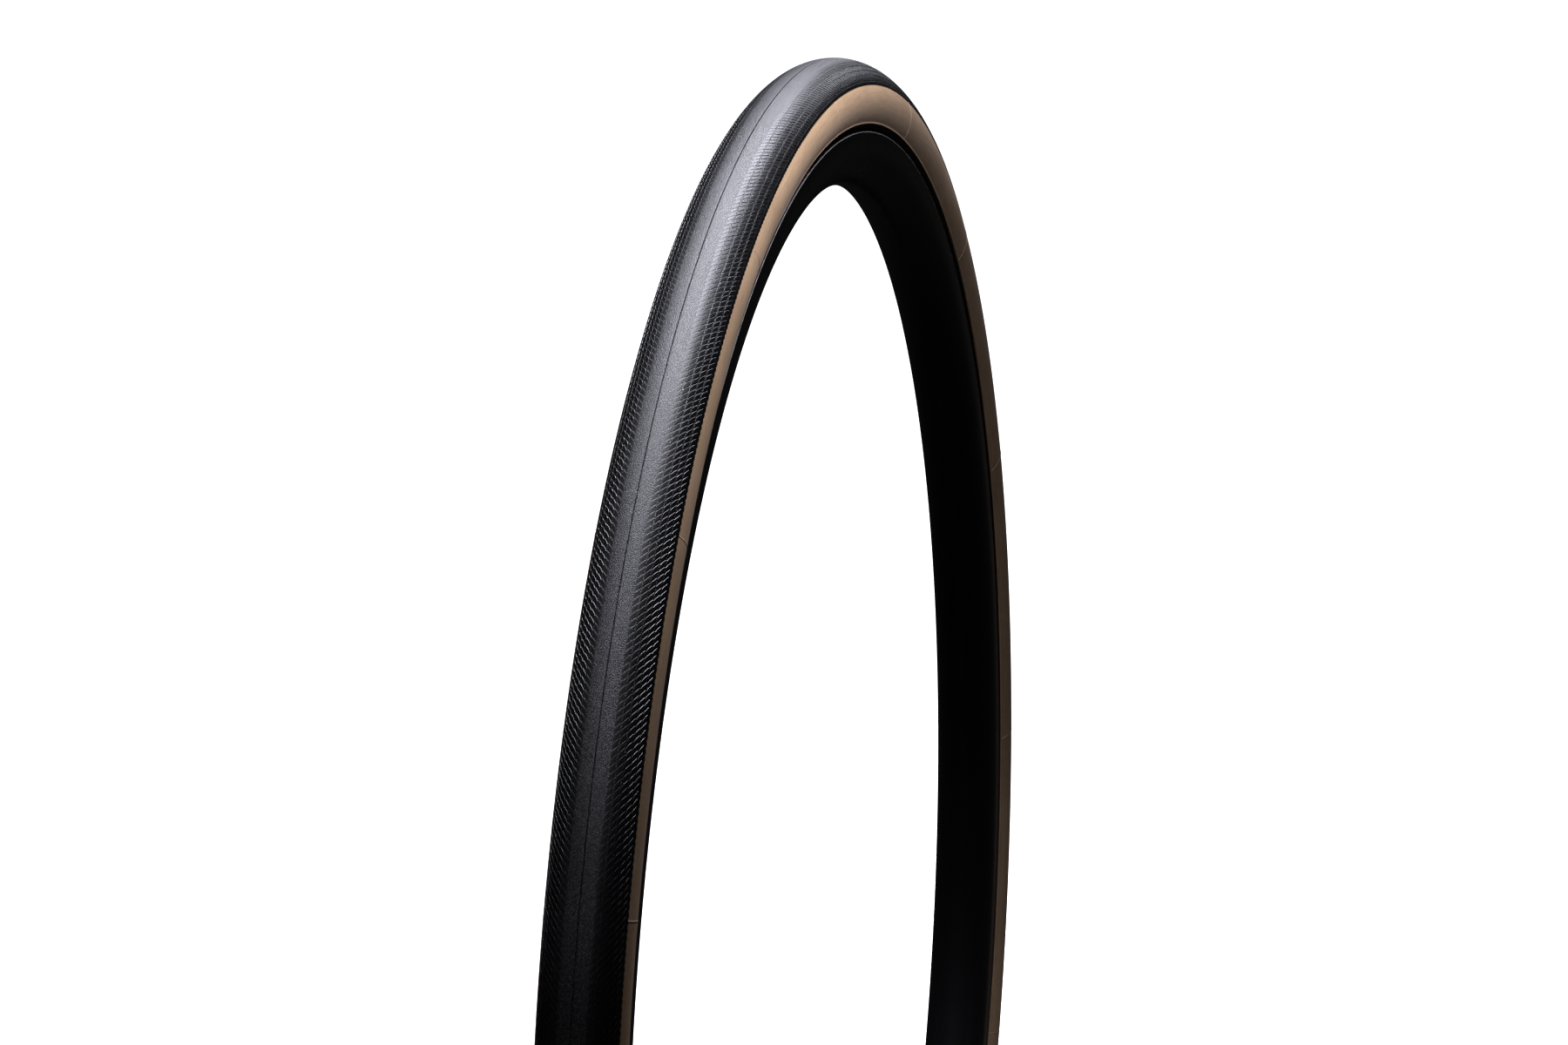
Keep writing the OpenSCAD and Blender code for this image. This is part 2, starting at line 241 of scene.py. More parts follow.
class Nodes:
    """A short hand for building one material's node tree."""

    def __init__(self, name):
        self.material = bpy.data.materials.new(name)
        self.material.use_nodes = True
        self.tree = self.material.node_tree
        self.shader = self.tree.nodes["Principled BSDF"]

    def add(self, kind, **values):
        node = self.tree.nodes.new(kind)
        for key, value in values.items():
            if key in node.inputs:
                node.inputs[key].default_value = value
            else:
                setattr(node, key, value)
        return node

    def link(self, a, b):
        self.tree.links.new(a, b)

    def place(self):
        """Object coordinates, in metres."""
        return self.add("ShaderNodeTexCoord").outputs["Object"]

    def along_across(self):
        """Coordinates that run round the wheel and across the piece, in metres."""
        return self.add("ShaderNodeUVMap", uv_map="along_across").outputs["UV"]

    def noise(self, vector, scale, detail, roughness):
        node = self.add("ShaderNodeTexNoise", Scale=scale, Detail=detail, Roughness=roughness)
        self.link(vector, node.inputs["Vector"])
        return node.outputs["Fac"]

    def stretched(self, vector, scale):
        node = self.add("ShaderNodeMapping")
        node.inputs["Scale"].default_value = scale
        self.link(vector, node.inputs["Vector"])
        return node.outputs["Vector"]

    def turned(self, vector, angle):
        node = self.add("ShaderNodeMapping")
        node.inputs["Rotation"].default_value = (0, 0, angle)
        self.link(vector, node.inputs["Vector"])
        return node.outputs["Vector"]

    def bands(self, vector, scale, distortion):
        node = self.add("ShaderNodeTexWave", Scale=scale, Distortion=distortion)
        self.link(vector, node.inputs["Vector"])
        return node.outputs["Fac"]

    def ramp(self, fac, stops):
        node = self.add("ShaderNodeValToRGB")
        while len(node.color_ramp.elements) < len(stops):
            node.color_ramp.elements.new(0.5)
        for element, (where, colour) in zip(node.color_ramp.elements, stops):
            element.position = where
            element.color = (*colour, 1)
        self.link(fac, node.inputs["Fac"])
        return node.outputs["Color"]

    def spread(self, fac, low, high, from_low=0.0, from_high=1.0):
        """An output that goes from low to high as fac goes from from_low to from_high."""
        node = self.add("ShaderNodeMapRange")
        for key, value in zip(("From Min", "From Max", "To Min", "To Max"), (from_low, from_high, low, high)):
            node.inputs[key].default_value = value
        self.link(fac, node.inputs["Value"])
        return node.outputs["Result"]

    def math(self, operation, a, b):
        node = self.add("ShaderNodeMath", operation=operation)
        for socket, value in zip(node.inputs, (a, b)):
            if isinstance(value, (int, float)):
                socket.default_value = value
            else:
                self.link(value, socket)
        return node.outputs["Value"]

    def mixed(self, *parts):
        """Sum of outputs, each with its own weight."""
        total = None
        for output, weight in parts:
            part = self.math("MULTIPLY", output, weight)
            total = part if total is None else self.math("ADD", total, part)
        return total

    def bump(self, height, distance, strength, under=None):
        node = self.add("ShaderNodeBump", Distance=distance, Strength=strength)
        self.link(height, node.inputs["Height"])
        if under is not None:
            self.link(under, node.inputs["Normal"])
        return node.outputs["Normal"]

    def finish(self, color, roughness, normal=None, **fixed):
        """The material, from outputs for its colour, roughness and normal, and fixed values for the rest."""
        for key, output in (("Base Color", color), ("Roughness", roughness), ("Normal", normal)):
            if output is not None:
                self.link(output, self.shader.inputs[key])
        for key, value in fixed.items():
            self.shader.inputs[key.replace("_", " ")].default_value = value
        return self.material


def tread_rubber(name, tones, rough, grain_height):
    """Black rubber with the sandy grain of a mould. tones runs from dark rubber to light rubber to the pale
    specks, which are put in the grain of the slick centre only."""
    n = Nodes(name)
    where = n.place()
    grain = n.noise(where, 3000, 2, 0.6)
    speck_noise = n.noise(where, 3000, 1, 0.5)
    cloud = n.noise(where, 22, 4, 0.55)
    apart = n.add("ShaderNodeSeparateXYZ")
    n.link(where, apart.inputs["Vector"])
    off_centre = n.math("ABSOLUTE", apart.outputs["Y"], 0.0)
    centre = n.spread(off_centre, 1.0, 0.0, PATTERN_START, PATTERN_START + SPECK_FADE * COLUMN_W)
    speck = n.math("MULTIPLY", n.spread(speck_noise, 0.0, 1.0, 0.48, 0.7), centre)
    color = n.ramp(n.mixed((cloud, 0.3), (speck, 0.7)), list(zip((0.1, 0.25, 0.95), tones)))
    roughness = n.spread(n.mixed((grain, 0.6), (cloud, 0.4)), *rough, 0.3, 0.7)
    roughness = n.math("SUBTRACT", roughness, n.spread(centre, PATTERN_GLOSS, 0.0))
    return n.finish(color, roughness, n.bump(grain, grain_height, 1.0), IOR=1.5)


def tan_rubber():
    """Tan rubber over cotton threads: a fine diagonal weave, speckles and slow changes of tone."""
    n = Nodes("tan_rubber_skin")
    where = n.place()
    flat = n.along_across()
    threads = n.bands(n.turned(flat, math.radians(45)), 700, 2.0)
    speckle = n.noise(where, 2300, 2, 0.6)
    lines = n.noise(n.stretched(flat, (70, 1500, 1)), 1, 2, 0.6)
    cloud = n.noise(where, 30, 4, 0.6)
    tone = n.mixed((cloud, 0.3), (lines, 0.35), (speckle, 0.35))
    tans = ((0.34, 0.213, 0.115), (0.455, 0.295, 0.165), (0.57, 0.385, 0.225))
    color = n.ramp(tone, list(zip((0.34, 0.5, 0.66), tans)))
    roughness = n.spread(n.mixed((speckle, 0.5), (cloud, 0.5)), 0.5, 0.72, 0.3, 0.7)
    normal = n.bump(speckle, 0.0001, 0.8, n.bump(n.math("ADD", threads, lines), 0.00004, 0.4))
    return n.finish(color, roughness, normal, Sheen_Weight=0.06)


def splice_highlight_rubber():
    """Pale tan for the raised edge of a splice: a painted highlight, in mottled patches."""
    n = Nodes("splice_painted_highlight_rubber")
    pale_mottle = n.noise(n.place(), 900, 3, 0.6)
    color = n.ramp(pale_mottle, [(0.3, (0.5, 0.34, 0.2)), (0.7, (0.72, 0.56, 0.4))])
    return n.finish(color, n.spread(pale_mottle, 0.5, 0.7, 0.3, 0.7), n.bump(pale_mottle, 0.00003, 0.5))


def black_paint():
    """Smooth black anodised or painted metal, with a faint orange peel."""
    n = Nodes("rim_black_satin")
    where = n.place()
    peel = n.noise(where, 2600, 2, 0.5)
    cloud = n.noise(where, 14, 3, 0.5)
    color = n.ramp(cloud, [(0.3, (0.0018, 0.0016, 0.002)), (0.7, (0.003, 0.0028, 0.0034))])
    return n.finish(color, n.spread(cloud, 0.26, 0.34, 0.3, 0.7), n.bump(peel, 0.00002, 0.35), IOR=1.48)


def lip_highlight_paint():
    """Dark grey in patches on the black rim's lips: a painted highlight line."""
    n = Nodes("rim_lip_painted_highlight")
    patches = n.noise(n.place(), 160, 4, 0.65)
    color = n.ramp(patches, [(0.35, (0.02, 0.02, 0.022)), (0.6, (0.16, 0.16, 0.165))])
    return n.finish(color, n.spread(patches, 0.5, 0.3, 0.3, 0.7), n.bump(patches, 0.00003, 0.4), IOR=1.8)


def plain_rubber(name, base, rough=(0.5, 0.7)):
    """Black or grey rubber with a fine grain."""
    n = Nodes(name)
    where = n.place()
    grain = n.noise(where, 2400, 3, 0.6)
    cloud = n.noise(where, 40, 3, 0.5)
    color = n.ramp(cloud, [(0.3, tuple(0.8 * c for c in base)), (0.7, tuple(1.25 * c for c in base))])
    return n.finish(color, n.spread(grain, *rough, 0.3, 0.7), n.bump(grain, 0.00005, 0.5))


def valve_metal():
    """Nickel on brass: bright, with fine scratches and slightly yellow worn places."""
    n = Nodes("valve_nickel")
    where = n.place()
    scratch = n.noise(n.stretched(where, (1, 1, 0.08)), 5200, 3, 0.6)
    cloud = n.noise(where, 420, 3, 0.5)
    color = n.ramp(cloud, [(0.35, (0.62, 0.6, 0.56)), (0.62, (0.7, 0.68, 0.63)), (0.75, (0.66, 0.58, 0.42))])
    roughness = n.spread(scratch, 0.22, 0.42, 0.3, 0.7)
    return n.finish(color, roughness, n.bump(scratch, 0.000012, 0.5), Metallic=1.0)


def woven(name, base, angle, threads_per_m):
    """Fabric of parallel threads in rubber."""
    n = Nodes(name)
    where = n.place()
    lines = n.bands(n.turned(where, angle), threads_per_m, 1.0)
    fuzz = n.noise(where, 1500, 3, 0.6)
    tone = n.mixed((lines, 0.6), (fuzz, 0.4))
    color = n.ramp(tone, [(0.2, tuple(0.6 * c for c in base)), (0.8, tuple(1.15 * c for c in base))])
    return n.finish(color, n.spread(fuzz, 0.6, 0.85, 0.3, 0.7), n.bump(lines, 0.0001, 0.7), Sheen_Weight=0.2)


def tape_plastic():
    """Red plastic tape, slightly mottled."""
    n = Nodes("tape_red_plastic")
    where = n.place()
    fuzz = n.noise(where, 900, 3, 0.6)
    color = n.ramp(fuzz, [(0.3, (0.36, 0.03, 0.03)), (0.7, (0.5, 0.06, 0.05))])
    return n.finish(color, n.spread(fuzz, 0.35, 0.55, 0.3, 0.7), n.bump(fuzz, 0.00003, 0.4))


SLICK_TONES = ((0.002, 0.002, 0.0025), (0.004, 0.004, 0.005), (0.11, 0.106, 0.115))
# The block tones are the slick tones made darker: painted shade on the shoulder blocks and tread edges, which
# are the same rubber.
DARKENED_BLOCK_TONES = ((0.001, 0.001, 0.0014), (0.002, 0.002, 0.0026), (0.03, 0.029, 0.032))
TREAD = tread_rubber("tread_rubber_slick", SLICK_TONES, (0.41, 0.5), 0.00022)
BLOCKS = tread_rubber("tread_rubber_blocks", DARKENED_BLOCK_TONES, (0.42, 0.5), 0.00005)
TAN = tan_rubber()
SPLICE_HIGHLIGHT = splice_highlight_rubber()
RIM_PAINT = black_paint()
LIP_HIGHLIGHT_PAINT = lip_highlight_paint()
CHAFER = plain_rubber("chafer_black_rubber", (0.008, 0.008, 0.008))
TUBE = plain_rubber("tube_black_butyl", (0.012, 0.012, 0.012), (0.35, 0.55))
FILLER = plain_rubber("filler_grey_rubber", (0.03, 0.028, 0.026))
NICKEL = valve_metal()
CASING = woven("casing_cotton_ply", (0.5, 0.38, 0.25), math.radians(45), 420)
BELT = woven("belt_gold_weave", (0.55, 0.42, 0.14), math.radians(-40), 300)
ARAMID = woven("bead_aramid_fibre", (0.62, 0.48, 0.14), math.radians(20), 700)
TAPE = tape_plastic()


def dress(obj, material):
    """Put one material on a node of the frame."""
    if not obj.material_slots:
        obj.data.materials.append(material)
    for slot in obj.material_slots:
        slot.material = material


def place(obj, body, material, slot, *nodes):
    """Dress a piece, let it ride its body and hide the nodes that it stands in for. The slot argument is not
    used.
    """
    obj.data.materials.append(material)
    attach(obj, body)
    if nodes:
        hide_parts(*nodes)


# ---------------------------------------------------------------- tread

def groove_depth(s):
    """Depth of the grooves at arc length s from the crown: they fade in from the slick centre."""
    return DEEP * smooth_step(s, PATTERN_START - 0.3 * MM, PATTERN_START + GROOVE_FADE * COLUMN_W)


def tread_body():
    """The crescent of rubber: a fine parting line at the crown, and shoulders sunk to the grooves' floor."""
    end = PATTERN_START + COLUMNS * COLUMN_W
    edge = TREAD_ARC * TREAD_R
    s = np.concatenate([
        [0, 0.07 * MM, 0.12 * MM, 0.16 * MM, 0.22 * MM, 0.4 * MM],
        np.linspace(0.9 * MM, PATTERN_START - 0.4 * MM, 9),
        np.linspace(PATTERN_START, end, 22),
        [edge - 0.5 * MM, edge - 0.12 * MM, edge],
    ])
    h = -PARTING_DEEP * np.exp(-((s / PARTING_W) ** 5)) - groove_depth(s)
    h[-1] -= 0.12 * MM
    right = np.stack(tread_point(s, h), -1)
    lap = math.asin(right[-1][1] / SKIN_R) - math.radians(0.5)
    low = np.stack(skin_point(np.linspace(lap - 0.02, 0.0, 12), UNDERSIDE), -1)
    half = np.vstack([right, low])
    left = half[1:-1][::-1] * (1, -1)
    section = np.vstack([half, left])
    return lathe("tread_body", section, TREAD_STEPS, closed=True)


def tread_edge(name, side):
    """The narrow lip where the tread ends on the sidewall: its edge waves in and out once for each block."""
    per_pitch = 4
    around = PITCHES * per_pitch
    a = np.arange(around) * TURN / around
    saw = np.array([0.0, 0.75, 1.0, 0.45])
    wave = EDGE_WAVE * saw[np.arange(around) % per_pitch]
    edge = TREAD_ARC * TREAD_R
    lap = math.asin(tread_point(edge, 0)[1] / SKIN_R)
    rings = [tread_point(edge - back, -DEEP + rise) for back, rise in (
        (0.9 * MM, -0.03 * MM), (0.3 * MM, 0.015 * MM), (0.02 * MM, -0.02 * MM))]
    rings = [(np.full(around, r), np.full(around, y)) for r, y in rings]
    foot = lap + (wave - 0.2 * MM) / SKIN_R
    rings.append(skin_point(foot - 0.012, 0.12 * MM + 0 * wave))
    rings.append(skin_point(foot, 0.05 * MM + 0 * wave))
    rings.append(skin_point(foot - 0.01, -0.15 * MM + 0 * wave))
    points = np.stack([round_wheel(r, side * y, a) for r, y in rings], 1)
    lengths = np.arange(len(rings)) * 0.3 * MM
    return grid_object(name, points, uv=(TURN * TIRE_R / around, lengths))


def block_ring(u0, u1, inset, half):
    """One level of a block's outline, as (across, along) points: a parallelogram with one corner cut off."""
    inner, outer = u0 + inset * END_BEVELS[0], u1 - inset * END_BEVELS[1]
    upper, lower = half - inset * SIDE_BEVELS[0], half - inset * SIDE_BEVELS[1]
    cut_across, cut_along = (cut + inset * CUT_GROWTH for cut in CORNER_CUT)
    corners = ((inner, cut_along - upper), (inner + cut_across, -upper), (outer, -upper),
               (outer, lower), (inner, lower))
    return [(u, along - SLANT * (u - u0)) for u, along in corners]


def block_faces(side):
    """Faces of one block, by the numbers of its points: the bevels, level by level, and the top in two."""
    bevels = []
    for ring in range(0, OUTLINE * (len(BLOCK_LEVELS) - 1), OUTLINE):
        for k in range(OUTLINE):
            here, after = ring + k, ring + (k + 1) % OUTLINE
            bevels.append((here, after, after + OUTLINE, here + OUTLINE))
    top = OUTLINE * (len(BLOCK_LEVELS) - 1)
    tops = [(top, top + 1, top + 2, top + 3), (top, top + 3, top + 4)]
    if side < 0:
        bevels = [face[::-1] for face in bevels]
        tops = [face[::-1] for face in tops]
    return bevels, tops


def tread_blocks(name, side):
    """Slanted blocks of the file pattern, in columns: low, with flat bevels that catch the light as dashes.
    Each top is shaded as a part of the tread's round face."""
    angle_pitch = TURN / PITCHES
    half = BLOCK_PART * angle_pitch * TIRE_R / 2
    rng = np.random.default_rng(5 if side > 0 else 6)
    places = np.arange(PITCHES) * angle_pitch
    points, outward = [], []
    for column in range(COLUMNS):
        u0 = PATTERN_START + column * COLUMN_W + LINE_W / 2
        u1 = PATTERN_START + (column + 1) * COLUMN_W - LINE_W / 2
        shift = rng.uniform(-PITCH_JITTER, PITCH_JITTER, PITCHES) * angle_pitch
        rows, normals = [], []
        for sink, inset in BLOCK_LEVELS:
            for u, along in block_ring(u0, u1, inset, half):
                r, y = tread_point(u, -sink * (float(groove_depth(u)) + FOOT_SINK))
                a = places + along / TIRE_R + shift
                lean = u / TREAD_R
                rows.append(round_wheel(r, side * y, a))
                normals.append(round_wheel(math.cos(lean), side * math.sin(lean), a))
        points.append(np.stack(rows, 1))
        outward.append(np.stack(normals, 1))
    points = np.concatenate(points)
    outward = np.concatenate(outward)
    bevels, tops = block_faces(side)
    top_corners = np.concatenate(tops)
    corners = np.concatenate([np.ravel(bevels), top_corners])
    sizes = np.array([len(face) for face in bevels + tops])
    first = points.shape[1] * np.arange(len(points))[:, None]
    obj = mesh_object(name, points.reshape(-1, 3), (first + corners).reshape(-1), np.tile(sizes, len(points)))
    quads = points[:, np.array(bevels)]
    flat = np.cross(quads[:, :, 2] - quads[:, :, 0], quads[:, :, 3] - quads[:, :, 1])
    flat /= np.linalg.norm(flat, axis=-1, keepdims=True)
    shading = np.concatenate([np.repeat(flat, 4, axis=1), outward[:, top_corners]], axis=1)
    obj.data.normals_split_custom_set(shading.reshape(-1, 3).tolist())
    return obj


place(tread_body(), "wheel", TREAD, "tread_rubber", "tread_cap")
for word, side in (("left", 1), ("right", -1)):
    place(tread_blocks(f"tread_blocks_{word}", side), "wheel", BLOCKS, "tread_rubber")
    place(tread_edge(f"tread_edge_{word}", side), "wheel", BLOCKS, "tread_rubber")


# ---------------------------------------------------------------- sidewalls

SKIN_START = math.asin(tread_point(TREAD_ARC * TREAD_R, 0)[1] / SKIN_R) - math.radians(6)


def splice_lean(a):
    """How far round the wheel a splice has bent at section angle a."""
    return -SPLICE_LEAN / SEC_C * ((a - SKIN_START) / (FOOT - SKIN_START)) ** 2


def sidewall_splices(name, side):
    """Thin raised edges where the casing's ends lap. Each crosses the sidewall in a slight bend."""
    along = np.array([-0.42, -0.24, -0.1, 0.1, 0.17, 0.24]) * MM
    height = np.array([-0.03, 0.05, 0.11, 0.12, 0.03, -0.05]) * MM
    a = np.linspace(SKIN_START + math.radians(4), FOOT - math.radians(2.5), 30)
    verts, faces = [], []
    for k in range(SPLICES):
        base = len(verts)
        middle = SPLICE_PHASE + k * TURN / SPLICES
        for angle in a:
            for reach, up in zip(along, height):
                r, y = skin_point(angle, up)
                turn = middle + splice_lean(angle) + reach / SEC_C
                verts.append((r * math.cos(turn), side * y, r * math.sin(turn)))
        for i in range(len(a) - 1):
            for j in range(len(along) - 1):
                one = base + i * len(along) + j
                quad = (one, one + 1, one + len(along) + 1, one + len(along))
                faces.append(quad if side < 0 else quad[::-1])
    return new_object(name, verts, faces)


def sidewall_skin(name, side):
    """Tan rubber from under the tread's edge to its foot, with a fine rib there and a slight step at each
    splice."""
    rib = FOOT - math.radians(1.5)
    a = np.concatenate([np.linspace(SKIN_START, rib - 0.05, 34), rib + np.linspace(-0.03, 0.026, 9)])
    turn = (np.arange(SKIN_STEPS) * TURN / SKIN_STEPS)[:, None]
    phase = (turn - SPLICE_PHASE - splice_lean(a)[None, :]) % (TURN / SPLICES)
    step = 0.05 * MM * np.exp(-np.clip(phase * SEC_C / (4 * MM), 0, 50))
    foot_rib = RIB_H * np.exp(-(((a - rib) / 0.017) ** 2))
    end_fade = 1 - smooth_step(a, rib - 0.12, rib - 0.05)
    r, y = skin_point(a[None, :], step * end_fade[None, :] + foot_rib[None, :])
    outer = round_wheel(r, side * y, turn)
    under = a[::-1][::3]
    r, y = skin_point(under[None, :] + 0 * turn, UNDERSIDE)
    inner = round_wheel(r, side * y, turn)
    points = np.concatenate([outer, inner], 1)
    lengths = np.concatenate([(a - a[0]) * SKIN_R, (2 * a[-1] - a[0] - under) * SKIN_R])
    if side < 0:
        points = points[:, ::-1]
        lengths = lengths[-1] - lengths[::-1]
    return grid_object(name, points, True, (TURN * SEC_C / SKIN_STEPS, lengths))


# The raised splice edges wear a paler tan than the sidewall: a painted highlight.
for word, side in (("left", 1), ("right", -1)):
    place(sidewall_skin(f"sidewall_skin_{word}", side), "wheel", TAN, "tan_rubber", f"sidewall_{word}")
    place(sidewall_splices(f"sidewall_splices_{word}", side), "wheel", SPLICE_HIGHLIGHT, "tan_rubber")


# ---------------------------------------------------------------- rim

def arc(centre, radius, first, last, count):
    """Points of a round stretch of a section, as (radius, offset) pairs."""
    a = np.radians(np.linspace(first, last, count))
    return np.stack([centre[0] + radius * np.cos(a), centre[1] + radius * np.sin(a)], -1)


def cut_hole(obj, radius, low, high):
    """A straight round hole through a piece, on the valve's line."""
    steps = 64
    ring = [(radius * math.cos(v), radius * math.sin(v)) for v in np.arange(steps) * TURN / steps]
    verts = [(x, y, z) for z in (low, high) for x, y in ring]
    faces = [(k, (k + 1) % steps, (k + 1) % steps + steps, k + steps) for k in range(steps)]
    faces += [tuple(range(steps - 1, -1, -1)), tuple(range(steps, 2 * steps))]
    cutter = new_object("hole_cutter", verts, faces, False)
    cut = obj.modifiers.new("hole", "BOOLEAN")
    cut.operation = "DIFFERENCE"
    cut.object = cutter
    cut.solver = "EXACT"
    bpy.context.view_layer.update()
    mesh = bpy.data.meshes.new_from_object(obj.evaluated_get(bpy.context.evaluated_depsgraph_get()))
    obj.modifiers.remove(cut)
    obj.data = mesh
    bpy.data.objects.remove(cutter)


def rim_shell():
    """The rim: well, bead seats, round lips and a belly of half an ellipse, with a hole for the valve."""
    well = [(WELL_R, 0), (WELL_R, 4.6 * MM), (WELL_R + 0.25 * MM, 5.03 * MM), (SEAT_R - 0.2 * MM, 5.45 * MM)]
    seat = [(SEAT_R, 5.7 * MM), (SEAT_R, 9.6 * MM), (SEAT_R + 0.3 * MM, RIM_HALF - 2 * LIP_R)]
    lip = arc((LIP_C, LIP_Y), LIP_R, -90, 90, 12)
    a = np.radians(np.linspace(0, 90, 30))
    belly = np.stack([SEAT_R - (SEAT_R - BELLY_R) * np.sin(a), RIM_HALF * np.cos(a)], -1)
    half = np.vstack([well, seat, lip, belly])
    section = np.vstack([half, half[1:-1][::-1] * (1, -1)])
    obj = lathe("rim_shell", section, RIM_STEPS, closed=True)
    cut_hole(obj, HOLE_R, -SEAT_R - 5 * MM, -BELLY_R + 5 * MM)
    obj.data.set_sharp_from_angle(angle=math.radians(35))
    return obj


def lip_highlight_band(name, side):
    """A thin band over a rim lip, painted dark grey as a highlight line."""
    section = arc((LIP_C, side * LIP_Y), LIP_R + 0.02 * MM, side * 60, side * 74, 4)
    return lathe(name, section if side > 0 else section[::-1], RIM_STEPS)


place(rim_shell(), "wheel", RIM_PAINT, "black_rim", "rim")
# Thin bands over both lips carry a painted highlight on the black rim.
place(lip_highlight_band("rim_lip_highlight_band_left", 1), "wheel", LIP_HIGHLIGHT_PAINT, "black_rim")
place(lip_highlight_band("rim_lip_highlight_band_right", -1), "wheel", LIP_HIGHLIGHT_PAINT, "black_rim")


# ---------------------------------------------------------------- valve

def turned_on_line(name, section, around, shape=None):
    """A piece turned about the valve's line from (radius, height) points, down its outside and up its bore.
    Its outline may close on the line itself. shape(r, z, a) may change a radius, for threads, flats and
    knurls."""
    r, z = np.asarray(section, float).T
    a = np.arange(around)[:, None] * TURN / around
    r = np.tile(r, (around, 1))
    z = np.tile(z, (around, 1))
    if shape:
        r = shape(r, z, a + 0 * r)
    points = np.stack([r * np.cos(a), r * np.sin(a), z], -1)
    obj = grid_object(name, points, section[0][0] > 0)
    edit = bmesh.new()
    edit.from_mesh(obj.data)
    bmesh.ops.remove_doubles(edit, verts=edit.verts, dist=1e-7)
    edit.to_mesh(obj.data)
    edit.free()
    obj.data.set_sharp_from_angle(angle=math.radians(40))
    return obj


def thread_shape(high, low, pitch, depth, over):
    """A thread between two heights, cut only where the outline is wider than over."""
    def shape(r, z, a):
        wave = 0.5 - 0.5 * np.cos(TURN * z / pitch - a)
        fade = smooth_step(z, low, low + pitch) * (1 - smooth_step(z, high - pitch, high))
        return np.where(r > over, r - depth * wave * fade, r)
    return shape


def stem_piece():
    """Stem: a foot in the tube, a long thread, a narrower threaded mouth, and one bore."""
    low, high = (float(corner[2]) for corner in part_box("valve_stem"))
    foot_r = float(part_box("valve_stem")[1][0])
    shoulder, foot_top = high - MOUTH_L, low + 0.7 * MM
    bore, core_bore, core_bore_l = 1.2 * MM, 1.7 * MM, 17.5 * MM
    mouth_rows = [(MOUTH_R, z) for z in np.linspace(high - 0.35 * MM, shoulder + 0.1 * MM, 32)]
    stem_rows = [(STEM_R, z) for z in np.linspace(shoulder - 0.3 * MM, foot_top, 330)]
    foot = [(foot_r - 0.15 * MM, foot_top), (foot_r, foot_top - 0.15 * MM), (foot_r, low + 0.1 * MM),
            (foot_r - 0.1 * MM, low)]
    section = [(core_bore, high), (MOUTH_R - 0.3 * MM, high), *mouth_rows, (MOUTH_R, shoulder),
               (STEM_R - 0.3 * MM, shoulder), *stem_rows, *foot, (bore, low), (bore, high - core_bore_l),
               (core_bore, high - core_bore_l)]
    mouth = thread_shape(high - 0.2 * MM, shoulder, MOUTH_PITCH, 0.25 * MM, 2.4 * MM)
    long = thread_shape(shoulder - 0.1 * MM, foot_top, STEM_PITCH, THREAD_DEPTH, 2.9 * MM)
    return turned_on_line("valve_stem_threaded", section, 48, lambda r, z, a: long(mouth(r, z, a), z, a))


def core_piece():
    """Core: a body in the mouth, and a head with two flats for its wrench."""
    low, high = (float(corner[2]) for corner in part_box("valve_core"))
    head_r = float(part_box("valve_core")[1][0])
    base = float(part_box("valve_stem")[1][2]) + 0.02 * MM
    body_r, bore = 1.66 * MM, 0.85 * MM
    head = [(head_r - 0.35 * MM, high - 0.1 * MM), (head_r, high - 0.45 * MM), (head_r, base + 0.15 * MM),
            (head_r - 0.15 * MM, base)]
    section = [(bore, high), (bore + 0.1 * MM, high), (1.5 * MM, high), *head, (body_r, base), (body_r, low),
               (1.1 * MM, low), (1.1 * MM, base - 3.2 * MM), (bore, base - 3.2 * MM)]

    def flats(r, z, a):
        limit = CORE_FLATS / 2 / np.maximum(np.abs(np.sin(a)), 0.2)
        return np.where(r > body_r, np.minimum(r, np.maximum(limit - (head_r - r) * 0.4, body_r)), r)
    return turned_on_line("valve_core_flatted", section, 120, flats)


def pin_piece():
    """Pin: a fine thread for its nut and a small riveted tip."""
    low, high = (float(corner[2]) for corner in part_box("valve_pin"))
    tip_r = float(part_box("valve_pin")[1][0])
    rows = [(PIN_R, z) for z in np.linspace(high - 0.75 * MM, low + 0.2 * MM, 170)]
    tip = [(0, high), (0.5 * tip_r, high - 0.02 * MM), (tip_r - 0.12 * MM, high - 0.1 * MM),
           (tip_r, high - 0.28 * MM), (tip_r, high - 0.48 * MM), (PIN_R, high - 0.62 * MM)]
    section = [*tip, *rows, (PIN_R - 0.15 * MM, low), (0, low)]
    thread = thread_shape(high - 0.6 * MM, low + 13 * MM, 0.5 * MM, 0.1 * MM, 0.7 * MM)
    return turned_on_line("valve_pin_threaded", section, 32, thread)


def knurled_piece(name, node, bore, ridges, groove, bevel):
    """A ring with rounded edges and a knurled side. It fills its node's box, but for a hair of room below."""
    low, high = (float(corner[2]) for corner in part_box(node))
    low += HAIR
    radius = float(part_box(node)[1][0])
    corner = [(radius - bevel * (1 - math.sin(v)), high - bevel * (1 - math.cos(v)))
              for v in np.radians((0, 30, 60, 90))]
    side = [(radius, z) for z in np.linspace(high - bevel - 0.1 * MM, low + bevel + 0.1 * MM, 6)]
    foot = [(r, low + high - z) for r, z in corner[::-1]]
    section = [(bore + 0.15 * MM, high), *corner, *side, *foot, (bore + 0.15 * MM, low),
               (bore, low + 0.15 * MM), (bore, high - 0.15 * MM)]

    def knurl(r, z, a):
        cut = groove * (0.5 + 0.5 * np.cos(a * ridges)) ** 1.5
        return np.where(r > radius - bevel - 0.01 * MM, np.minimum(r, radius - cut), r)
    return turned_on_line(name, section, ridges * 8, knurl)


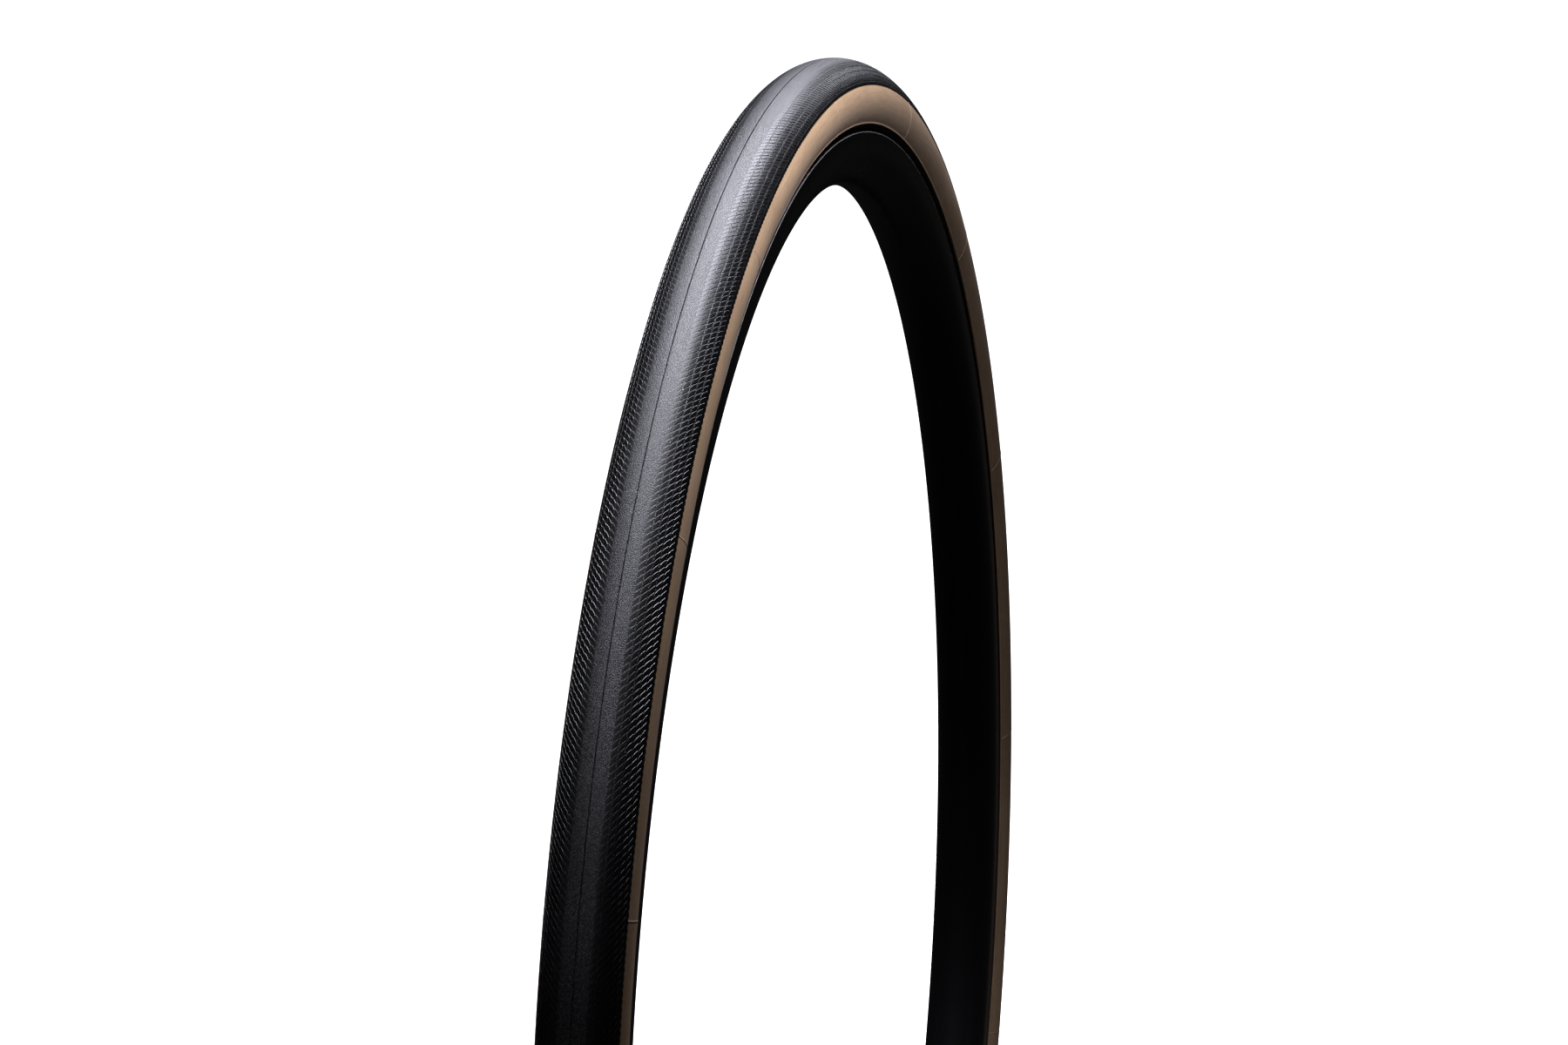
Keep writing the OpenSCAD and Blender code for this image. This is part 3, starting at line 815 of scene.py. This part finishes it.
place(stem_piece(), "wheel", NICKEL, "valve_brass", "valve_stem")
place(core_piece(), "wheel", NICKEL, "valve_brass", "valve_core")
place(pin_piece(), "pin", NICKEL, "valve_brass", "valve_pin")
place(knurled_piece("valve_pin_nut_knurled", "valve_pin_nut", 0.8 * MM, 20, 0.2 * MM, 0.35 * MM),
      "pin_nut", NICKEL, "valve_brass", "valve_pin_nut")
place(knurled_piece("valve_lock_ring_knurled", "valve_lock_ring", 3.06 * MM, 32, 0.35 * MM, 0.4 * MM),
      "lock_ring", NICKEL, "valve_brass", "valve_lock_ring")

for node, material in (
    ("chafer_left", CHAFER), ("chafer_right", CHAFER), ("inner_tube", TUBE), ("valve_patch", TUBE),
    ("valve_pin_seal", TUBE), ("bead_filler_left", FILLER), ("bead_filler_right", FILLER),
    ("bead_core_left", ARAMID), ("bead_core_right", ARAMID), ("casing_outer_ply", CASING),
    ("casing_inner_ply", CASING), ("puncture_belt", BELT), ("rim_tape", TAPE), ("tread_cap", TREAD),
    ("sidewall_left", TAN), ("sidewall_right", TAN), ("rim", RIM_PAINT), ("valve_stem", NICKEL),
    ("valve_core", NICKEL), ("valve_pin", NICKEL), ("valve_pin_nut", NICKEL), ("valve_lock_ring", NICKEL),
):
    dress(frame["nodes"][node], material)


# ---------------------------------------------------------------- floor, light and camera

def floor_paper():
    """White paper, matt."""
    n = Nodes("floor_paper")
    grain = n.noise(n.place(), 60, 3, 0.5)
    color = n.ramp(grain, [(0.3, (0.88, 0.88, 0.88)), (0.7, (0.9, 0.9, 0.9))])
    return n.finish(color, None, Roughness=0.9, Specular_IOR_Level=0.1)


def stage_floor():
    """A plain white floor under the tire. It shows, but throws no light back on the object."""
    size = 16
    corners = [(-size, -size), (size, -size), (size, size), (-size, size)]
    floor = new_object("floor", [(x, y, -TIRE_R) for x, y in corners], [(0, 1, 2, 3)], False)
    floor.data.materials.append(floor_paper())
    floor.visible_diffuse = False
    floor.visible_glossy = False
    return floor


def aim(obj, at, towards):
    """Stand a light or camera at one point, facing another."""
    obj.location = at
    obj.rotation_euler = (Vector(towards) - Vector(at)).to_track_quat("-Z", "Y").to_euler()
    bpy.context.scene.collection.objects.link(obj)
    return obj


def area_light(name, at, towards, size, power):
    """A soft light of slightly blue white, as wide and high as size says, that the camera doesn't see."""
    light = bpy.data.lights.new(name, "AREA")
    light.shape = "RECTANGLE"
    light.size, light.size_y = size
    light.energy = power
    light.color = (0.95, 0.955, 1.07)
    obj = aim(bpy.data.objects.new(name, light), at, towards)
    obj.visible_camera = False
    return obj


def low_spot(name, at, towards, half_angle, power):
    """A soft spot on the wheel's lower part, where the overhead lights don't reach."""
    light = bpy.data.lights.new(name, "SPOT")
    light.energy = power
    light.spot_size = math.radians(2 * half_angle)
    light.spot_blend = 0.6
    light.shadow_soft_size = 0.15
    obj = aim(bpy.data.objects.new(name, light), at, towards)
    obj.visible_camera = False
    return obj


def only(light, word, pieces, state="INCLUDE"):
    """Let a light fall on these pieces alone, or on everything but them."""
    lit = bpy.data.collections.new(word)
    for piece in pieces:
        lit.objects.link(piece)
    for member in lit.collection_objects:
        member.light_linking.link_state = state
    light.light_linking.receiver_collection = lit


def floor_wash(floor):
    """An even white light that falls on the floor alone, with soft shadows."""
    light = bpy.data.lights.new("floor_wash", "SUN")
    light.energy = 4.3
    light.angle = math.radians(40)
    obj = aim(bpy.data.objects.new("floor_wash", light), (0, 0, 4), (0.3, 0.2, 0))
    only(obj, "floor_only", [floor])


def studio_world(around, seen):
    """A dark room round the object, in front of a white backdrop."""
    world = bpy.data.worlds.new("studio")
    world.use_nodes = True
    nodes, links = world.node_tree.nodes, world.node_tree.links
    background = nodes["Background"]
    path = nodes.new("ShaderNodeLightPath")
    strength = nodes.new("ShaderNodeMapRange")
    strength.inputs["To Min"].default_value = around
    strength.inputs["To Max"].default_value = seen
    links.new(path.outputs["Is Camera Ray"], strength.inputs["Value"])
    links.new(strength.outputs["Result"], background.inputs["Strength"])
    background.inputs["Color"].default_value = (1, 1, 1, 1)
    bpy.context.scene.world = world


floor_wash(stage_floor())
pieces = bpy.data.objects
skins = [pieces[f"sidewall_{part}_{word}"] for part in ("skin", "splices") for word in ("left", "right")]
left_skins = [piece for piece in skins if piece.name.endswith("left")]
right_skins = [piece for piece in skins if piece.name.endswith("right")]
treads = [pieces[f"tread_{part}_{word}"] for part in ("blocks", "edge") for word in ("left", "right")]
treads.insert(0, pieces["tread_body"])
lip_highlight_bands = [pieces["rim_lip_highlight_band_left"], pieces["rim_lip_highlight_band_right"]]

# Each light: its name, its place, the point it faces, then size and watts, or half angle and watts for a spot
key = area_light("key_overhead", (0.2, 0.0, 1.5), (0.2, 0.0, 0), (0.7, 0.6), 53)
only(key, "not_skins_over", skins, "EXCLUDE")
key = area_light("key_behind", (1.2, -0.22, 1.5), (1.2, -0.22, 0), (0.7, 0.6), 31)
only(key, "not_skins_behind", skins, "EXCLUDE")
only(area_light("rim_of_tread", (2.2, -0.35, 0.86), (0, 0, 0.34), (0.5, 0.4), 2), "treads", treads)
only(area_light("skin_overhead", (0.2, 0.0, 1.5), (0.2, 0.0, 0), (0.7, 0.6), 8), "skins_over", skins)
# The rim_glint lamp lights only the painted highlight bands on the rim lips.
only(area_light("rim_glint", (1.5, -1.0, 0.45), (0, 0, 0.3), (0.5, 0.5), 5), "lip_highlight_bands", lip_highlight_bands)
only(area_light("skin_fill", (0, 2.2, -0.1), (0, 0, 0), (1.5, 1.5), 22), "far_skin", left_skins)
for word, side, lit in (("left", 1, left_skins), ("right", -1, right_skins)):
    low_spot(f"low_{word}", (0, side * 0.8, -0.2), (0, 0, -0.33), 17, 7)
    light = area_light(f"skin_side_{word}", (-0.06, side * 0.1, 0.543), (-0.07, 0, 0.5), (0.3, 0.2), 1.65)
    only(light, f"skins_{word}", lit)
for word, x, z, half_angle in (("front", -0.31, -0.14, 10), ("rear", 0.29, -0.22, 8)):
    spot = low_spot(f"low_{word}", (1.6 * x, -0.8, -0.3), (x, 0, z), half_angle, 4)
    only(spot, f"skin_{word}", right_skins)
for word, x in (("front", -1), ("rear", 1)):
    spot = low_spot(f"low_tread_{word}", (1.2 * x, 0, -0.2), (0.3 * x, 0, -0.2), 13, 5)
    only(spot, f"tread_{word}", treads)
studio_world(0.01, 1.0)
bpy.context.scene.view_settings.view_transform = "Standard"

camera_data = bpy.data.cameras.new("camera")
camera = bpy.data.objects.new("camera", camera_data)
camera_data.sensor_width = 36
camera_data.lens = 142.1
camera_data.clip_end = 60
eye = Vector((-2.1442, -0.4885, 0.7009))
yaw, pitch = 0.22715, -0.2345
gaze = Vector((math.cos(pitch) * math.cos(yaw), math.cos(pitch) * math.sin(yaw), math.sin(pitch)))
aim(camera, eye, eye + gaze)
bpy.context.scene.camera = camera
